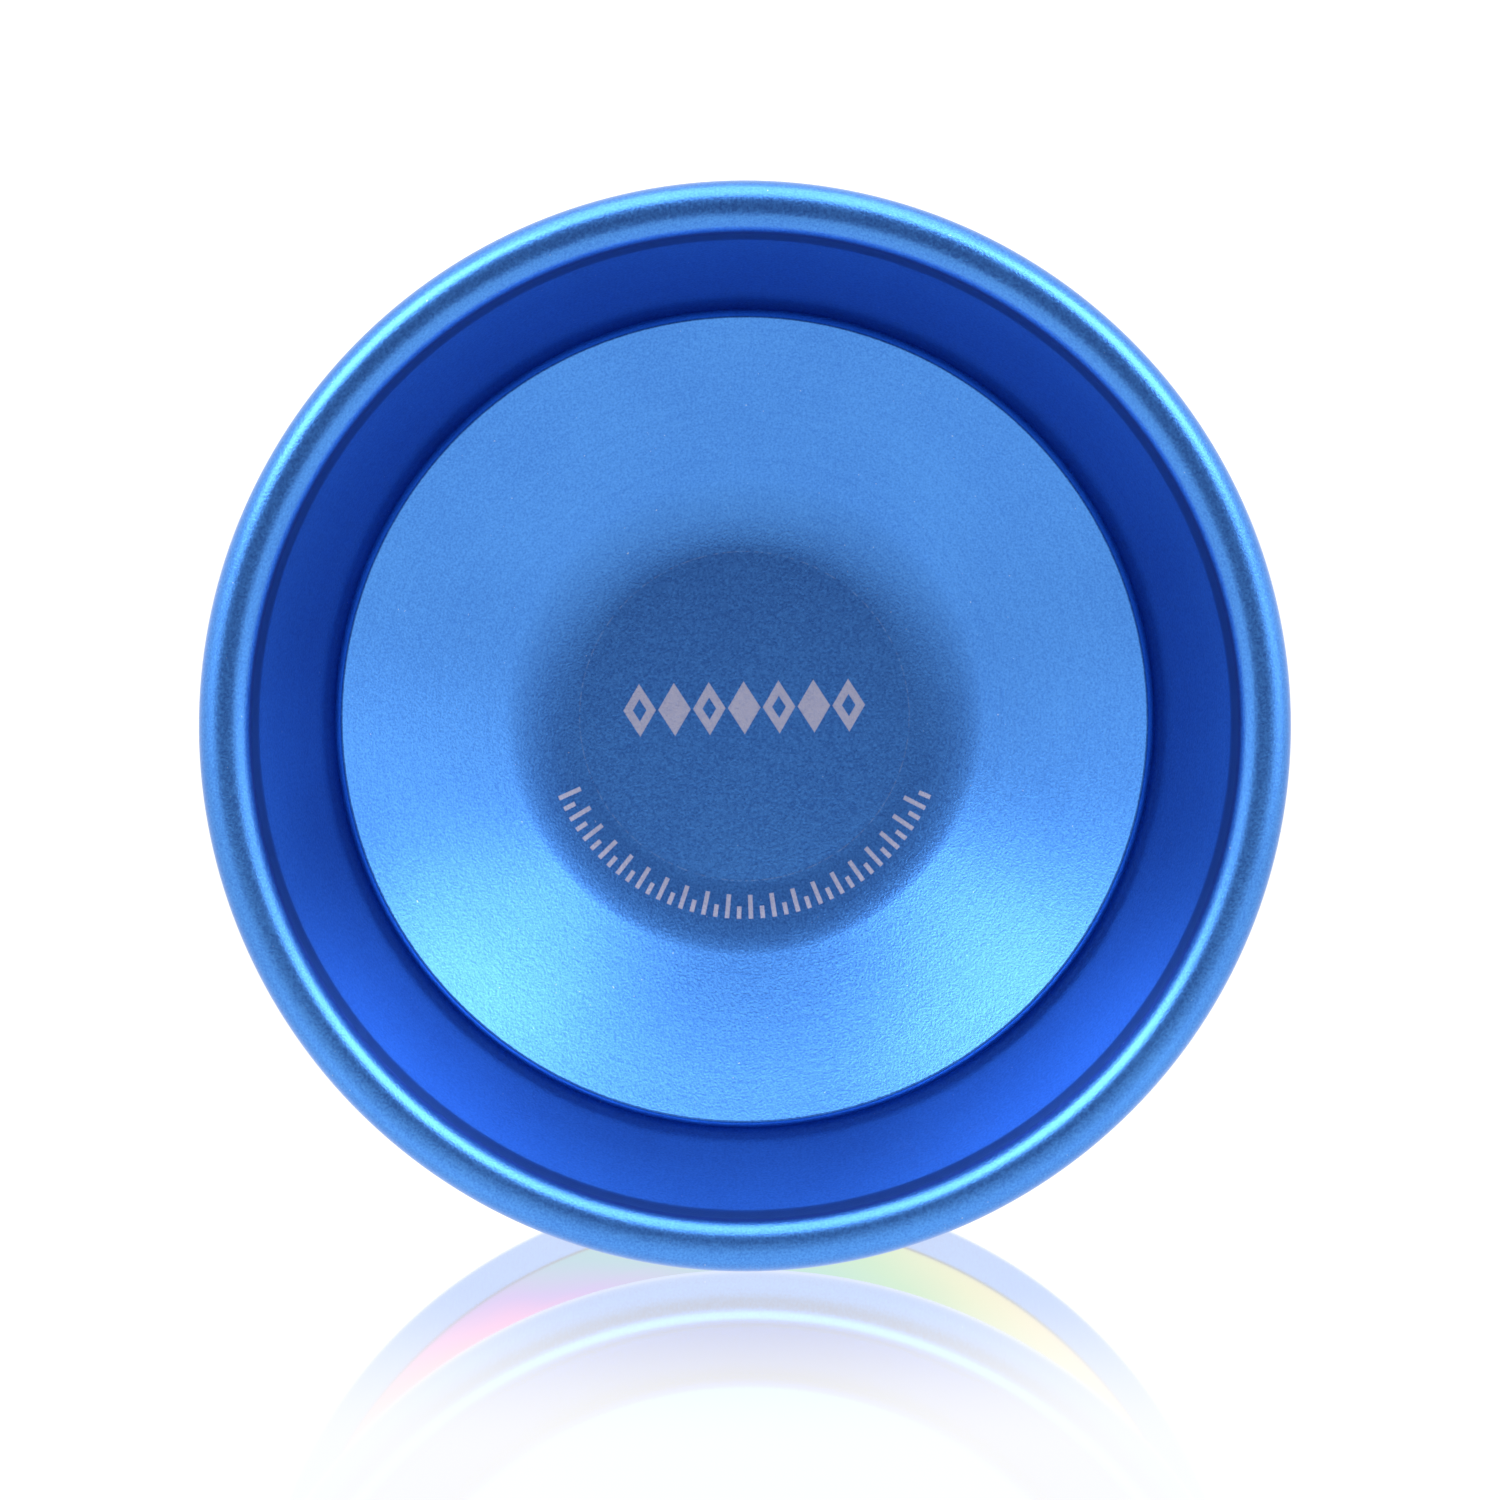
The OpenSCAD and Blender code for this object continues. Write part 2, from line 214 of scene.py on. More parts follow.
SLOPE = (RIM_EDGE_H - KNEE_H) / (RIM_R - FACE_R)
RING_OUT_R, RING_IN_R, RING_TOP_H = RIM_R - RIM_LIP, RIM_R - RIM_LIP - RING_W, RIM_H - RING_COVER
WALL_SLOPE = (NECK_H - FACE_H) / WALL_RUN
RING_WALL_H = (FACE_H + (RING_IN_R - WALL_FOOT_R) * WALL_SLOPE
               - POCKET_WALL * math.hypot(1, WALL_SLOPE))
RING_SHOULDER_R = RING_IN_R + (RING_TOP_H - RING_WALL_H) / WALL_SLOPE
SHELL_BREAK, RING_BREAK = 0.15, 0.19
print(f"ring pocket from radius {RING_IN_R:.2f} to {RING_OUT_R:.2f}, its shoulder at {RING_SHOULDER_R:.2f}")


# %% Outline of a half
def string_side(radius):
    """Height of the string side's slope at a radius."""
    return KNEE_H + (radius - FACE_R) * SLOPE


BORE = [(0, BORE_H + BORE_R / math.tan(DRILL_POINT / 2)), (BORE_R, BORE_H), (BORE_R, POST_TIP_H, EDGE)]
POST = [(POST_R, POST_TIP_H, 2.5 * EDGE), (POST_R, RACE_H), (POST_R + SEAT_W, RACE_H, EDGE)]
RECESS = [(POST_R + SEAT_W, RECESS_H), (RECESS_R, RECESS_H), (RECESS_R, GAP_H, EDGE)]
PAD_GROOVE = [
    (PAD_IN_R, GAP_H, EDGE), (PAD_IN_R, PAD_FLOOR_H), (PAD_OUT_R, PAD_FLOOR_H), (PAD_OUT_R, GAP_H, EDGE),
]
LIP_AND_KNEE = [(PAD_OUT_R + LIP_W, GAP_H, LIP_ROUND), (FACE_R, KNEE_H, KNEE_ROUND)]
POCKET = [
    (RING_IN_R, string_side(RING_IN_R), EDGE), (RING_IN_R, RING_WALL_H),
    (RING_SHOULDER_R, RING_TOP_H), (RING_OUT_R, RING_TOP_H),
    (RING_OUT_R, string_side(RING_OUT_R), SHELL_BREAK),
]
RIM = [
    (RIM_R, RIM_EDGE_H, RIM_EDGE_ROUND), (RIM_R, RIM_H, BEAD_ROUND), (BEAD_R, RIM_H, BEAD_ROUND),
    (NECK_R, NECK_H, NECK_FILLET), (WALL_FOOT_R, FACE_H),
]
DISH = [
    (GROOVE_R, GROOVE_H), (FACE_R, FACE_H, 2 * EDGE), (DISH_R, DISH_H, DISH_ROUND),
    (HUB_R, HUB_H, HUB_FILLET), (0, HUB_H),
]
HALF = BORE + POST + RECESS + PAD_GROOVE + LIP_AND_KNEE + POCKET + RIM + DISH
shells = {
    side: turned(f"{side}_shell", HALF, side, f"{side}_side", "anodised_body", f"{side}_half",
                 steps=SHELL_STEPS, closed=False)
    for side in SIDES
}

# %% [markdown]
# ## The weight rings
# A steel ring pressed into the string side of each rim puts weight where it keeps the yo-yo
# spinning. Its face carries on the slope of the half, so only a fine joint line shows round it.

# %% Turn the weight rings
RELIEF, HIDDEN_BREAK = 0.05, 0.1
RING = [
    (RING_IN_R + RELIEF, string_side(RING_IN_R + RELIEF), 2 * EDGE),
    (RING_OUT_R, string_side(RING_OUT_R), RING_BREAK), (RING_OUT_R, RING_TOP_H, HIDDEN_BREAK),
    (RING_SHOULDER_R + RELIEF, RING_TOP_H, HIDDEN_BREAK),
    (RING_IN_R + RELIEF, RING_WALL_H, HIDDEN_BREAK),
]
rings = {
    side: turned(f"{side}_rim_ring", RING, side, f"{side}_side", "weight_ring",
                 f"{side}_weight_ring", steps=SHELL_STEPS)
    for side in SIDES
}

# %% [markdown]
# ## The response pads
# A soft silicone ring sits in a groove on each side of the bearing and grips the string when the
# thrower makes the yo-yo bind. It is cast flat, with a small radius all round.

# %% Turn the pads
PAD_FACE_ROUND, PAD_BACK_ROUND = 0.2, 0.1
PAD = [
    (PAD_IN_R + PAD_FIT, PAD_FLOOR_H - PAD_T, PAD_FACE_ROUND),
    (PAD_OUT_R - PAD_FIT, PAD_FLOOR_H - PAD_T, PAD_FACE_ROUND),
    (PAD_OUT_R - PAD_FIT, PAD_FLOOR_H, PAD_BACK_ROUND),
    (PAD_IN_R + PAD_FIT, PAD_FLOOR_H, PAD_BACK_ROUND),
]
for side, body in (("front", "front_pad"), ("rear", "rear_side")):
    turned(f"{side}_grip_pad", PAD, side, body, "response_pad", f"{side}_response_pad")

# %% [markdown]
# ## The bearing
# The inner race is clamped between the two posts, and the outer race, which the string loops over,
# runs round it on ten balls. A thin shield sits on a step on each side, held by a split ring that
# springs into a groove. The balls and their cage are already right in the frame, so they stay.

# %% Turn the races
PITCH_R, RACEWAY_R, RACEWAY_DEPTH = (RACE_BORE_R + RACE_R) / 2, 0.824, 0.24
OUT_SHOULDER, IN_SHOULDER = PITCH_R + RACEWAY_R - RACEWAY_DEPTH, PITCH_R - RACEWAY_R + RACEWAY_DEPTH
SHIELD_R, SHIELD_T, SNAP_T, SNAP_BITE, SNAP_INSET, FIT = OUT_SHOULDER + 0.5, 0.25, 0.16, 0.1, 0.12, 0.02
SNAP_H = RACE_H - SNAP_INSET - SNAP_T
SHIELD_H = SNAP_H - SHIELD_T
FINE_EDGE, BORE_EDGE, RACE_EDGE = 0.03, 0.12, 0.18
reach = RACEWAY_R - RACEWAY_DEPTH
mouth_h = math.sqrt(RACEWAY_R**2 - reach**2)
tangent_r = RACEWAY_R**2 / reach
step = [
    (OUT_SHOULDER, SHIELD_H, FINE_EDGE), (SHIELD_R, SHIELD_H), (SHIELD_R, SNAP_H - FIT),
    (SHIELD_R + SNAP_BITE + FIT, SNAP_H - FIT), (SHIELD_R + SNAP_BITE + FIT, SNAP_H + SNAP_T + FIT),
    (SHIELD_R, SNAP_H + SNAP_T + FIT), (SHIELD_R, RACE_H, FINE_EDGE), (RACE_R, RACE_H, RACE_EDGE),
]
below = [(corner[0], -corner[1], *corner[2:]) for corner in reversed(step)]
raceway = [(OUT_SHOULDER, -mouth_h), (PITCH_R + tangent_r, 0, RACEWAY_R), (OUT_SHOULDER, mouth_h)]
INNER = [
    (RACE_BORE_R, -RACE_H, BORE_EDGE), (IN_SHOULDER, -RACE_H, EDGE), (IN_SHOULDER, -mouth_h),
    (PITCH_R - tangent_r, 0, RACEWAY_R), (IN_SHOULDER, mouth_h), (IN_SHOULDER, RACE_H, EDGE),
    (RACE_BORE_R, RACE_H, BORE_EDGE),
]
for name, outline, body in (("outer_race", raceway + step + below, "outer_race"),
                            ("inner_race", INNER, "rear_side")):
    turned(name, outline, "front", body, "bearing_steel", f"bearing_{name}", steps=RACE_STEPS)

# %% Press the shields and spring in the split rings
SHIELD_BORE_R, SHIELD_TOP_H, SUNK, SHEET_EDGE = IN_SHOULDER + 0.15, SHIELD_H + SHIELD_T, 0.06, 0.05
SHIELD = [
    (SHIELD_BORE_R, SHIELD_H, SHEET_EDGE), (SHIELD_R - FIT, SHIELD_H, SHEET_EDGE),
    (SHIELD_R - FIT, SHIELD_TOP_H, SHEET_EDGE), (SHIELD_BORE_R + 0.8, SHIELD_TOP_H, 2 * SHEET_EDGE),
    (SHIELD_BORE_R + 0.6, SHIELD_TOP_H - SUNK, 2 * SHEET_EDGE),
    (SHIELD_BORE_R, SHIELD_TOP_H - SUNK, SHEET_EDGE),
]
SNAP_R, SNAP_W, WIRE_EDGE, SNAP_OPENING = SHIELD_R + SNAP_BITE, 0.42, 0.04, math.radians(28)
SNAP = [
    (SNAP_R - SNAP_W, SNAP_H, WIRE_EDGE), (SNAP_R, SNAP_H, WIRE_EDGE),
    (SNAP_R, SNAP_H + SNAP_T, WIRE_EDGE), (SNAP_R - SNAP_W, SNAP_H + SNAP_T, WIRE_EDGE),
]
for side in SIDES:
    turned(f"{side}_dust_shield", SHIELD, side, "outer_race", "shield_steel", f"{side}_shield")
    turned(f"{side}_split_ring", SNAP, side, "outer_race", "shield_steel", f"{side}_snap_ring",
           steps=round(SMALL_STEPS * (1 - SNAP_OPENING / FULL_TURN)), angle=FULL_TURN - SNAP_OPENING)

# %% [markdown]
# ## The axle
# The axle is a headless socket screw. A thread is a short zigzag carried round the axis while it
# climbs one pitch for every turn, which is what `spin` does with a `dvec`. Two planes then cut the
# ends square, a hexagon is sunk into one end, and the first threads are turned down to a cone. The
# zigzag is given as parts of a pitch and parts of the thread's depth.

# %% Cut the thread
PITCH, THREAD_DEPTH, CHAMFER = 0.7, 0.38, 0.4
SOCKET_R, SOCKET_DEPTH = 1 / math.cos(math.pi / 6), 2.2
PER_TURN = 48
turns = math.ceil(2 * AXLE_H / PITCH) + 2
bm = bmesh.new()
zigzag = [(0, 0), (0.06, 0), (0.44, 1), (0.56, 1), (0.94, 0), (1, 0)]
tooth = [bm.verts.new((AXLE_R - THREAD_DEPTH * (1 - up), 0, PITCH * along)) for along, up in zigzag]
for low, high in zip(tooth, tooth[1:]):
    bm.edges.new((low, high))
bmesh.ops.spin(
    bm, geom=bm.verts[:] + bm.edges[:], cent=(0, 0, 0), axis=(0, 0, 1),
    dvec=(0, 0, PITCH / PER_TURN), angle=FULL_TURN * turns, steps=PER_TURN * turns, use_merge=False,
)
bmesh.ops.translate(bm, verts=bm.verts, vec=(0, 0, -PITCH * (turns + 1) / 2))
bmesh.ops.remove_doubles(bm, verts=bm.verts, dist=1e-4)
for end in (-1, 1):
    cut = bmesh.ops.bisect_plane(
        bm, geom=bm.verts[:] + bm.edges[:] + bm.faces[:], dist=1e-6,
        plane_co=(0, 0, end * AXLE_H), plane_no=(0, 0, end), clear_outer=True,
    )
    rim = [g for g in cut["geom_cut"] if isinstance(g, bmesh.types.BMEdge)]
    if end < 0:
        bmesh.ops.contextual_create(bm, geom=rim)
        continue
    socket = bmesh.ops.create_circle(bm, cap_ends=False, segments=6, radius=SOCKET_R,
                                     matrix=Matrix.Translation((0, 0, AXLE_H)))["verts"]
    hexagon = list({e for v in socket for e in v.link_edges})
    bmesh.ops.bridge_loops(bm, edges=rim + hexagon)
    deep = bmesh.ops.extrude_edge_only(bm, edges=hexagon)["geom"]
    floor_verts = [g for g in deep if isinstance(g, bmesh.types.BMVert)]
    bmesh.ops.translate(bm, verts=floor_verts, vec=(0, 0, -SOCKET_DEPTH))
    bmesh.ops.contextual_create(bm, geom=[g for g in deep if isinstance(g, bmesh.types.BMEdge)])
for vert in bm.verts:
    cone = AXLE_R - max(0, abs(vert.co.z) - (AXLE_H - CHAMFER))
    reached = vert.co.xy.length
    if reached > cone:
        vert.co.x, vert.co.y = vert.co.x * cone / reached, vert.co.y * cone / reached
finished(bm, "threaded_axle", FRONT, "rear_side", "axle_steel", "axle")

# %% [markdown]
# ## Writing finishes as sums
# A finish is a graph of nodes, but a sum is easier to read. `Value` wraps one socket, so that
# `1 - mask` or `a * b` adds the Math node itself. Any other node comes from `Finish.node`.

# %% A value that can be used in sums
class Value:
    """A number or colour that changes over the surface."""

    def __init__(self, finish, socket):
        self.finish, self.socket = finish, socket

    def math(self, operation, *others):
        terms = dict(enumerate((self, *others)))
        return self.finish.node("ShaderNodeMath", {"operation": operation}, terms)

    def __add__(self, other):
        return self.math("ADD", other)

    def __sub__(self, other):
        return self.math("SUBTRACT", other)

    def __rsub__(self, other):
        return self.finish.node("ShaderNodeMath", {"operation": "SUBTRACT"}, {0: other, 1: self})

    def __mul__(self, other):
        return self.math("MULTIPLY", other)

    def __truediv__(self, other):
        return self.math("DIVIDE", other)

    __radd__, __rmul__ = __add__, __mul__

    def size(self):
        return self.math("ABSOLUTE")

    def over(self, limit, soft):
        """0 below the limit, 1 above it, with a soft edge."""
        return self.finish.node(
            "ShaderNodeMapRange", {"interpolation_type": "SMOOTHSTEP"},
            {"Value": self, "From Min": limit - soft, "From Max": limit + soft},
        )

    def under(self, limit, soft):
        return 1 - self.over(limit, soft)


# %% A node tree
class Finish:
    """A node tree, with one method that adds a node and gives back its output."""

    def __init__(self, tree):
        self.tree = tree
        tree.nodes.clear()

    def node(self, kind, settings=None, inputs=None, output=0):
        node = self.tree.nodes.new(kind)
        for key, setting in (settings or {}).items():
            if key == "stops":
                stops = node.color_ramp.elements
                while len(stops) < len(setting):
                    stops.new(1)
                for stop, (at, colour) in zip(stops, setting):
                    stop.position, stop.color = at, (*colour, 1)
            else:
                setattr(node, key, setting)
        for key, value in (inputs or {}).items():
            if isinstance(value, Value):
                self.tree.links.new(value.socket, node.inputs[key])
            elif isinstance(value, tuple) and node.inputs[key].type == "RGBA":
                node.inputs[key].default_value = (*value, 1)
            else:
                node.inputs[key].default_value = value
        return Value(self, node.outputs[output]) if node.outputs else None

    def xyz(self, vector):
        split = self.node("ShaderNodeSeparateXYZ", None, {0: vector})
        return [Value(self, output) for output in split.socket.node.outputs]

    def place(self):
        """Where a point is on the piece, in millimetres: the vector, its parts and its radius."""
        place = self.node("ShaderNodeTexCoord", output="Object")
        place = self.node("ShaderNodeVectorMath", {"operation": "SCALE"}, {0: place, "Scale": 1000.0})
        x, y, z = self.xyz(place)
        return place, x, y, z, (x * x + z * z).math("SQRT")

    def noise(self, vector, size, detail=2.0, rough=0.5):
        """Noise whose lumps are about that many millimetres across."""
        return self.node("ShaderNodeTexNoise", {"noise_dimensions": "3D"},
                         {"Vector": vector, "Scale": 1 / size, "Detail": detail, "Roughness": rough})

    def rings(self, radius, y, size, detail=3.0):
        """Noise that runs in circles round the spin axis, as turning marks do."""
        around = self.node("ShaderNodeCombineXYZ", None, {"X": radius, "Y": y})
        return self.noise(around, size, detail)

    def mix(self, factor, first, second):
        return self.node("ShaderNodeMix", {"data_type": "RGBA"},
                         {"Factor": factor, 6: first, 7: second}, output=2)

    def bump(self, height, strength, depth):
        return self.node("ShaderNodeBump", None,
                         {"Strength": strength, "Distance": depth * MM, "Height": height})


def finish_of(name, varying, fixed):
    """A material with one Principled shader: what varies is linked, what doesn't is set on it."""
    material = bpy.data.materials.new(name)
    material.use_nodes = True
    finish = Finish(material.node_tree)
    shader = finish.node("ShaderNodeBsdfPrincipled", None, {**fixed, **varying(finish)})
    finish.node("ShaderNodeOutputMaterial", None, {"Surface": shader})
    print(f"{name}: {len(material.node_tree.nodes)} nodes")
    return material


# %% [markdown]
# ## The laser marks
# A laser burns the dye out of the skin and leaves matt pale grey, with no depth to feel, so the
# marks are colour and not geometry. They are plain ornament here: a row of lozenges across the hub,
# every second one hollow, and an arc of ticks under it. Both are sums of distances.

# %% Lozenges and ticks
TILT, MARK_UP, SOFT = math.radians(1.2), 0.45, 0.03
LOZENGE_PITCH, LOZENGE_W, LOZENGE_H, LOZENGES = 1.84, 1.72, 2.8, 7
TICK_IN, TICK_OUT, TICK_W, TICK_STEP = 9.45, 10.7, 0.24, math.radians(3.4)
ARC_HALF = math.radians(68.5)


def lozenge_row(x, z):
    across = x * math.cos(TILT) + z * math.sin(TILT)
    upward = z * math.cos(TILT) - x * math.sin(TILT) - MARK_UP
    number = (across / LOZENGE_PITCH + 0.5).math("FLOOR")
    beside = (across - number * LOZENGE_PITCH).size()
    shape = beside / (LOZENGE_W / 2) + upward.size() / (LOZENGE_H / 2)
    hollow = number.math("PINGPONG", 1.0) * shape.under(0.42, 0.04)
    return shape.under(1, 0.04) * (1 - hollow) * number.size().under(LOZENGES / 2, 0.1)


def tick_arc(x, z, radius):
    angle = z.math("ARCTAN2", x)
    number = (angle / TICK_STEP + 0.5).math("FLOOR")
    beside = (angle - number * TICK_STEP).size() * radius
    inner_end = TICK_IN + number.math("PINGPONG", 1.0) * 0.6
    tick = beside.under(TICK_W / 2, SOFT) * radius.under(TICK_OUT, SOFT)
    return (tick * (radius - inner_end).over(0, SOFT)
            * (angle + math.pi / 2).size().under(ARC_HALF, 0.002))


def engraving(x, y, z, radius):
    """1 inside a mark on the front face's hub, 0 elsewhere."""
    marks = lozenge_row(x, z).math("MAXIMUM", tick_arc(x, z, radius))
    return marks * y.under(-HUB_H + 0.6, 0.1) * y.over(-FACE_H, 0.1)


print(LOZENGES, "lozenges and about", round(2 * ARC_HALF / TICK_STEP), "ticks")


# %% [markdown]
# ## Blue anodising
# Glass beads are blasted at the turned aluminium, which leaves a fine grain, and the oxide layer
# is then dyed blue. Light passes the dye twice, so the metal itself is tinted, while the clear
# skin over it still gives white glints: a metallic base under a rough coat. Under the grain the
# turning marks still show faintly as circles, so one noise reads only the radius and the depth.
# The neck under the bead is darkened in the colour, as painted shade in that crease. A faint
# broken circle round the hub is where the last cut of the tool ended, and a few specks of dust
# lie on the skin.

# %% Anodised aluminium
DYE, DYE_PALE, PAINTED_NECK_SHADE = (0.034, 0.178, 0.57), (0.066, 0.275, 0.72), (0.003, 0.02, 0.2)
LASERED, DUST = (0.46, 0.46, 0.58), (0.5, 0.6, 0.7)
LAST_CUT_R = 8.7
CLEAR_SKIN = {"Metallic": 1.0, "Coat Weight": 0.5, "Coat Roughness": 0.32, "Coat IOR": 1.5}


def anodised(marked):
    def varying(f):
        place, x, y, z, radius = f.place()
        turning, grain = f.rings(radius, y, 0.25), f.noise(place, 0.12, 2)
        blotch = f.noise(place, 6)
        tone = grain * 2.4 + turning * 0.4 + blotch * 0.5 - 1.15
        colour = f.mix(tone.math("MAXIMUM", 0.0), DYE, DYE_PALE)
        rough = 0.26 + grain * 0.14
        # painted shade: the neck under the bead is darkened in the base colour, standing in for the shade
        # in that crease
        under_bead = radius.over(NECK_R, 0.08) * radius.under(BEAD_R, 0.08)
        neck = under_bead * y.size().under(RIM_H - 0.5, 0.3)
        colour = f.mix(neck * 0.9, colour, PAINTED_NECK_SHADE)
        speck = f.noise(place, 0.15, 0).over(0.885, 0.01)
        circle = (radius - LAST_CUT_R).size().under(0.03, 0.03)
        last_cut = circle * f.noise(place, 0.3, 2).over(0.5, 0.1) * 0.2
        colour = f.mix((speck * 0.5).math("MAXIMUM", last_cut), colour, DUST)
        if marked:
            mask = engraving(x, y, z, radius)
            colour = f.mix(mask * (0.7 + grain * 0.5), colour, LASERED)
            rough = rough + mask * 0.15
        relief = f.bump(grain * 0.7 + turning * 0.2, 0.6, 0.03)
        return {"Base Color": colour, "Roughness": rough, "Normal": relief}

    return varying


for side, shell in shells.items():
    shell.data.materials.append(finish_of(f"blue_anodised_{side}", anodised(side == "front"), CLEAR_SKIN))

# %% [markdown]
# ## Heat-tinted steel
# Polished steel that is heated grows a film thin enough to give interference colours. The colour
# depends on how hot each spot was, so it drifts along the ring and a little across it: a ramp of
# the film's colours, read at a place that noise pushes about.

# %% The weight rings' rainbow
FILM = [
    (0.0, (0.80, 0.36, 0.14)), (0.14, (0.85, 0.30, 0.14)), (0.23, (0.80, 0.14, 0.26)),
    (0.28, (0.62, 0.10, 0.48)), (0.33, (0.28, 0.12, 0.56)), (0.40, (0.06, 0.30, 0.40)),
    (0.52, (0.06, 0.42, 0.28)), (0.64, (0.20, 0.48, 0.18)), (0.76, (0.48, 0.52, 0.20)),
    (0.90, (0.72, 0.52, 0.26)), (1.0, (0.80, 0.36, 0.14)),
]


def heat_tinted(f):
    place, x, y, z, radius = f.place()
    turning, drift = f.rings(radius, y, 0.1), f.noise(place, 14)
    phase = x / 60 + 0.5 + (radius - 25) * 0.055 + (drift - 0.5) * 0.12 + (turning - 0.5) * 0.05
    colour = f.node("ShaderNodeValToRGB", {"stops": FILM}, {"Fac": phase.math("FRACT")})
    return {"Base Color": colour, "Roughness": 0.14 + turning * 0.12,
            "Normal": f.bump(turning, 0.2, 0.01)}


rainbow = finish_of("heat_tinted_steel", heat_tinted, {"Metallic": 1.0})
for ring in rings.values():
    ring.data.materials.append(rainbow)

# %% [markdown]
# ## The smaller finishes
# The metals differ in colour, in how rough they are and in which way their marks run: ground races
# have circles, sheet and wire have a grain, and the screw is oiled black, worn bright on the crests
# of its thread. The pads are cast silicone, matt and slightly uneven.

# %% Metals and silicone
def metal(dark, light, rough, circles, crest=None):
    def varying(f):
        place, x, y, z, radius = f.place()
        marks = f.rings(radius, y, 0.06) if circles else f.noise(place, 0.12, 3)
        smear = f.noise(place, 1.2, 3)
        colour = f.mix(marks * 0.5 + smear * 0.5, dark, light)
        if crest:
            colour = f.mix(radius.over(crest, 0.04) * (0.35 + smear * 0.6), colour, WORN)
        return {"Base Color": colour, "Roughness": rough + smear * 0.12 + marks * 0.06,
                "Normal": f.bump(marks, 0.15, 0.006)}

    return varying


def silicone(f):
    place = f.place()[0]
    cloud, pores = f.noise(place, 1.5, 3), f.noise(place, 0.15, 1)
    return {"Base Color": f.mix(cloud, (0.70, 0.70, 0.66), (0.88, 0.88, 0.85)),
            "Roughness": 0.5 + cloud * 0.2, "Normal": f.bump(pores, 0.3, 0.03)}


# for each slot: name, darkest, lightest, roughness, marks in circles, radius above which it is worn
WORN = (0.55, 0.55, 0.56)
METALS = {
    "axle_steel": ("oiled_black_steel", (0.03, 0.03, 0.035), (0.09, 0.09, 0.1), 0.3, False, AXLE_R - 0.06),
    "bearing_steel": ("ground_steel", (0.36, 0.37, 0.39), (0.58, 0.59, 0.61), 0.1, True),
    "shield_steel": ("sheet_steel", (0.3, 0.31, 0.33), (0.48, 0.49, 0.51), 0.22, False),
    "cage_bronze": ("pressed_bronze", (0.5, 0.3, 0.12), (0.74, 0.5, 0.24), 0.25, False),
}
finishes = {
    "anodised_body": shells["rear"].data.materials[0],
    "weight_ring": rainbow,
    "response_pad": finish_of("cast_silicone", silicone, {"Specular IOR Level": 0.4}),
}
for slot, (name, *look) in METALS.items():
    finishes[slot] = finish_of(name, metal(*look), {"Metallic": 1.0})

# %% [markdown]
# ## Dressing every piece
# The record names a material slot for every node. The new pieces take the same finishes as the
# nodes they stand for, and a node that is still shown has its own slot filled.

# %% Give each piece its finish
for part in frame["record"]["subparts"]:
    for slot in frame["nodes"][part["node"]].material_slots:
        slot.material = finishes[part["material_slot"]]
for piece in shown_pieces():
    if not piece.data.materials:
        piece.data.materials.append(finishes[piece["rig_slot"]])

# %% [markdown]
# ## The studio
# The yo-yo stands on glossy white acrylic in an overexposed white room. Its satin metal shows the
# room softened, so the room is what shades it: the dark side where the camera stands gives the dark
# hub, the white floor lights the upper face, and two softboxes, up to the left and right of the
# camera, give the two bright lobes low on the face. A wider box overhead and two weak fills soften
# the rest.
#
# The sheet ends 14 cm in front of the toy, so the lower face mirrors the dark room past its front
# edge. The sheet's own light is painted in as a glow, not lit by the lamps, a little brighter near
# the toy than further out, so it shows no shadow under the toy. It mirrors the toy clearly close
# by and less further out, where the mirror fades with distance and the painted glow shows instead.

# %% Floor
PAINTED_FLOOR_LIGHT_NEAR, PAINTED_FLOOR_LIGHT_FAR, FLOOR_FRONT, FLOOR_REACH = 1.24, 1.08, 0.16, 1
GLARE, GLARE_R, GLARE_SOFT = 0.78, 62, 32
floor_mesh = bpy.data.meshes.new("floor")
bm = bmesh.new()
floor_place = Matrix.Translation((0, FLOOR_REACH - FLOOR_FRONT, -RIM_R * MM))
bmesh.ops.create_grid(bm, x_segments=1, y_segments=1, size=FLOOR_REACH, matrix=floor_place)
bm.to_mesh(floor_mesh)
bm.free()
floor = bpy.data.objects.new("floor", floor_mesh)
bpy.context.scene.collection.objects.link(floor)
acrylic = bpy.data.materials.new("white_acrylic")
acrylic.use_nodes = True
f = Finish(acrylic.node_tree)
x, y = f.place()[1:3]
# painted light: the floor glows instead of being lit, a little brighter near the toy than further out
far = (x * x + y * y).math("SQRT").over(GLARE_R, GLARE_SOFT)
painted_floor_light = f.mix(far, (PAINTED_FLOOR_LIGHT_NEAR,) * 3, (PAINTED_FLOOR_LIGHT_FAR,) * 3)
painted_floor_glow = f.node("ShaderNodeEmission", None, {"Color": painted_floor_light, "Strength": 1.0})
gloss = f.node("ShaderNodeBsdfGlossy", None, {"Color": (1.0, 1.0, 1.0), "Roughness": 0.03})
glance = f.node("ShaderNodeFresnel", None, {"IOR": 1.49}) * (1 - far * GLARE)
f.node("ShaderNodeOutputMaterial", None,
       {"Surface": f.node("ShaderNodeMixShader", None, {0: glance, 1: painted_floor_glow, 2: gloss})})
floor_mesh.materials.append(acrylic)
print("floor at", round(-RIM_R, 2), "mm")

# %% [markdown]
# The room is one background whose dark side is a soft patch in the camera's direction, a little up
# and to the left. Only the metal sees the patch: the camera itself sees plain white, so the backdrop
# stays white from every side.

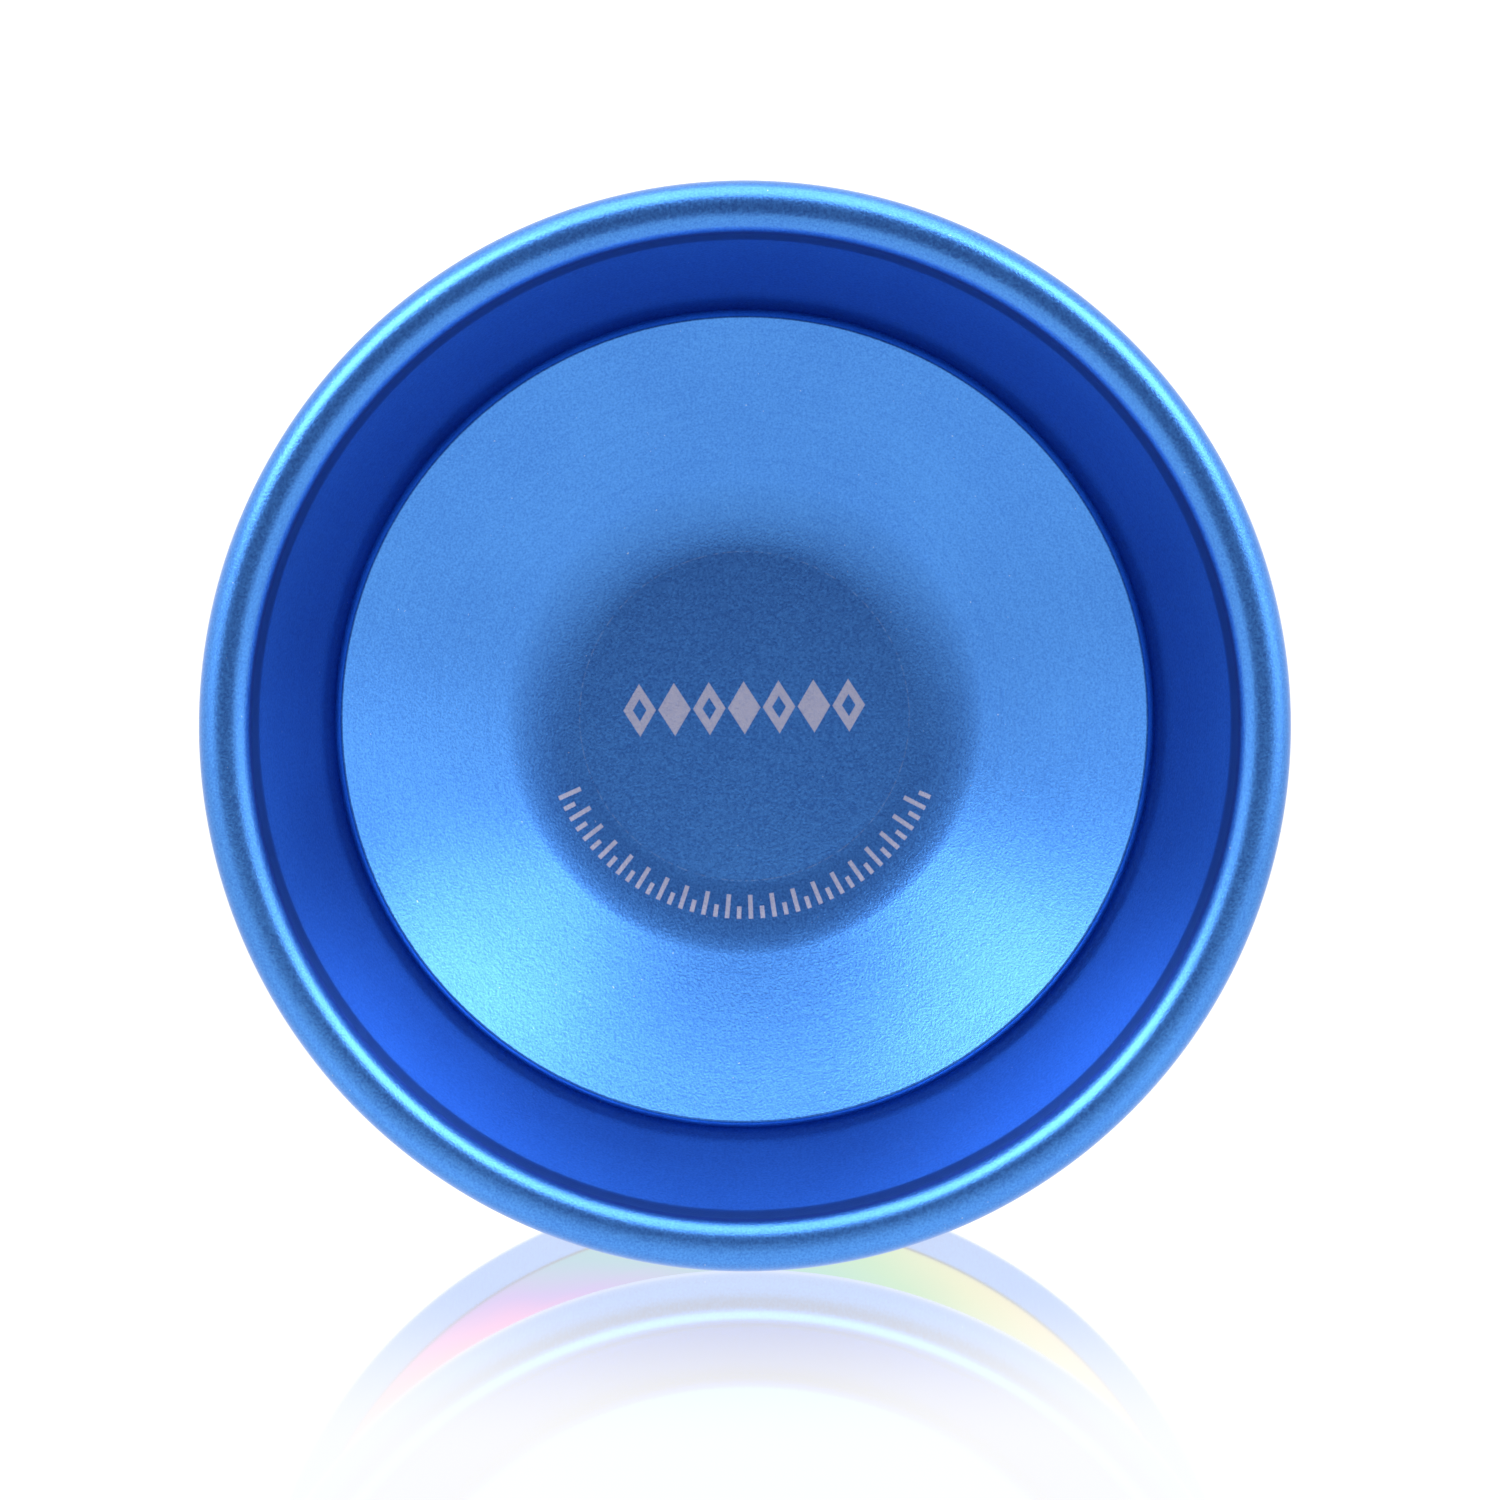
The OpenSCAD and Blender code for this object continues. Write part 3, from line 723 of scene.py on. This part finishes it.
# %% Room
ROOM, DARK_SIDE, DARK_TINGE = 1.25, 0.2, (0.95, 0.95, 1.35)
DARK_UP, DARK_LEFT, DARK_CORE, DARK_EDGE = map(math.radians, (11, 3, 24, 44))
world = bpy.data.worlds.new("room")
bpy.context.scene.world = world
world.use_nodes = True
f = Finish(world.node_tree)
towards = Matrix.Rotation(-DARK_LEFT, 3, "Z") @ Matrix.Rotation(-DARK_UP, 3, "X") @ Vector((0, -1, 0))
direction = f.node("ShaderNodeTexCoord", output="Generated")
facing = f.node("ShaderNodeVectorMath", {"operation": "DOT_PRODUCT"},
                {0: direction, 1: towards}, output="Value")
dark = f.node("ShaderNodeMapRange", {"interpolation_type": "SMOOTHSTEP"},
              {"Value": facing, "From Min": math.cos(DARK_EDGE), "From Max": math.cos(DARK_CORE)})
dark = dark * (1 - f.node("ShaderNodeLightPath", output="Is Camera Ray"))
strength = ROOM - dark * (ROOM - DARK_SIDE)
tinge = f.mix(dark, (1.0, 1.0, 1.0), DARK_TINGE)
backdrop = f.node("ShaderNodeBackground", None, {"Color": tinge, "Strength": strength})
f.node("ShaderNodeOutputWorld", None, {"Surface": backdrop})
print("room", ROOM, "with a dark side of", DARK_SIDE)

# %% Softboxes
BOX_AWAY, BOX_SIZE, BOX_WATTS = 0.8, 0.45, 3.4


def softbox(name, off_axis, clock, watts, size=BOX_SIZE):
    """A square light off the yo-yo's axis, at an angle counted round it from the right, facing it."""
    off, turn = math.radians(off_axis), math.radians(clock)
    towards = Vector((math.sin(off) * math.cos(turn), -math.cos(off), math.sin(off) * math.sin(turn)))
    data = bpy.data.lights.new(name, "AREA")
    data.size, data.energy = size, watts
    light = bpy.data.objects.new(name, data)
    bpy.context.scene.collection.objects.link(light)
    turned_in = towards.to_track_quat("Z", "Y").to_matrix().to_4x4()
    light.matrix_world = Matrix.Translation(towards * BOX_AWAY) @ turned_in
    light.visible_camera = False
    print(name, [round(c, 2) for c in light.location], round(watts, 2), "W")


softbox("softbox_left", 61, 136, BOX_WATTS)
softbox("softbox_right", 60, 43, BOX_WATTS * 0.9)
softbox("softbox_top", 72, 90, BOX_WATTS * 1.1, 0.75)
softbox("fill_right", 64, -8, BOX_WATTS * 0.22)
softbox("fill_left", 64, 188, BOX_WATTS * 0.1)

# %% [markdown]
# ## The camera
# A long lens a little above the axis, almost level, is how such a product is shot: it keeps the
# circles round and lets the floor mirror the far rim.

# %% Camera
LENS, STAND = 205.2, Vector((-1.05, -459.6, 20)) * MM
PITCH_DOWN, YAW, ROLL = map(math.radians, (2.766, 0.1699, -0.26))
camera = bpy.data.objects.new("camera", bpy.data.cameras.new("camera"))
bpy.context.scene.collection.objects.link(camera)
camera.data.lens = LENS
camera.data.clip_start = 0.01
level = Matrix.Rotation(-YAW, 4, "Z") @ Matrix.Rotation(math.pi / 2 - PITCH_DOWN, 4, "X")
camera.matrix_world = Matrix.Translation(STAND) @ level @ Matrix.Rotation(ROLL, 4, "Z")
bpy.context.scene.camera = camera
bpy.context.scene.view_settings.view_transform = "Standard"
print("lens", LENS, "mm,", round(STAND.length / MM), "mm away")
